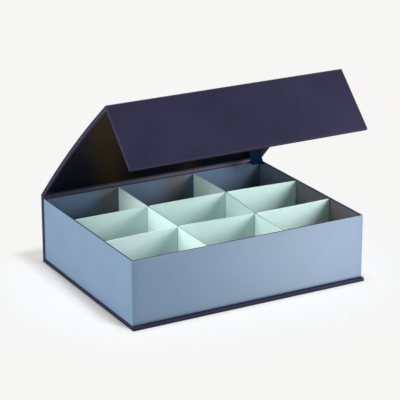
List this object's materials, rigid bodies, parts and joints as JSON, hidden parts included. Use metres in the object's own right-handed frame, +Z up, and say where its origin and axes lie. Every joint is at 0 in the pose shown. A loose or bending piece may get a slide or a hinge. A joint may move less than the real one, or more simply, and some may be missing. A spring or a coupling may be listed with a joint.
{
  "type": "keepsake box",
  "caption": "Rectangular book-style storage box: a cloth case with a hinged lid and folding front flap round a lined tray divided into equal compartments.",
  "frame": {"origin": "on the table, under the middle of the case's footprint, which the open lid stays inside", "axes": "+X to the right along the box's long side, +Y towards the spine and the lid's fold, +Z up"},
  "size_m": [0.3286, 0.2594, 0.2631],
  "materials": {
    "greyboard": "matt raw greyboard",
    "cover_cloth": "matt book cloth with a fine cross grain",
    "dark_lining": "smooth near-black lining paper",
    "wrap_paper": "pale blue textured wrap paper",
    "inner_paper": "slate blue lining paper",
    "mint_card": "smooth mint green card",
    "satin_ribbon": "navy satin weave",
    "nickel": "nickel plated",
    "plain_steel": "plain rolled steel"
  },
  "bodies": {
    "case": {"base_board": "greyboard", "base_cloth": "cover_cloth", "spine_board": "greyboard", "spine_cloth": "cover_cloth", "spine_lining": "cover_cloth", "tray_floor_board": "greyboard", "tray_front_wall": "greyboard", "tray_back_wall": "greyboard", "tray_left_wall": "greyboard", "tray_right_wall": "greyboard", "tray_outer_paper": "wrap_paper", "tray_inner_paper": "inner_paper", "tray_floor_paper": "inner_paper", "long_divider_back": "mint_card", "long_divider_front": "mint_card", "cross_divider_left": "mint_card", "cross_divider_right": "mint_card", "keeper_left": "plain_steel", "keeper_right": "plain_steel", "lid_ribbon": "satin_ribbon"},
    "lid": {"lid_board": "greyboard", "lid_cloth": "cover_cloth", "lid_lining": "dark_lining", "lid_back_joint_cloth": "cover_cloth", "lid_front_joint_cloth": "cover_cloth"},
    "flap": {"flap_board": "greyboard", "flap_cloth": "cover_cloth", "flap_joint_cloth": "cover_cloth", "flap_lining": "dark_lining", "flap_magnet_left": "nickel", "flap_magnet_right": "nickel"}
  },
  "joints": [
    {"name": "lid_hinge", "type": "hinge", "parent": "case", "child": "lid", "pos_m": [0, 0.12955, 0.0922], "axis": [-1, 0, 0], "range_deg": [-41.3, 63.7], "deforming": ["lid_ribbon"]},
    {"name": "flap_hinge", "type": "hinge", "parent": "lid", "child": "flap", "pos_m": [0, -0.0651, 0.26321], "axis": [-1, 0, 0], "range_deg": [-3.8, 175]}
  ]
}
